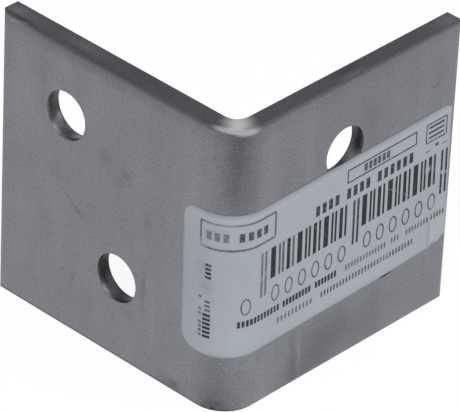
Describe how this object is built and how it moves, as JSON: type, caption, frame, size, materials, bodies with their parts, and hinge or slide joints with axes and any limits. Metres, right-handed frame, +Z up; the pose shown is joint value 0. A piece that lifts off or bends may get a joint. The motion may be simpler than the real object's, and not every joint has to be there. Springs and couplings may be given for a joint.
{
  "type": "angle bracket",
  "caption": "Small right-angle bracket folded from stainless sheet, with screw holes staggered on both legs and a paper label stuck round the bend.",
  "frame": {"origin": "middle of the footprint's box, on the ground that the bracket stands on", "axes": "+Z up along the bend, one leg along +X with its outer face towards -Y, the other leg along +Y with its outer face towards -X"},
  "size_m": [0.0296, 0.0296, 0.0306],
  "materials": {
    "stainless_sheet": "dull cold-rolled mill finish with sheared edges",
    "label_paper": "matt coated paper with black print"
  },
  "bodies": {
    "root": {"bracket": "stainless_sheet", "label": "label_paper"}
  },
  "joints": []
}
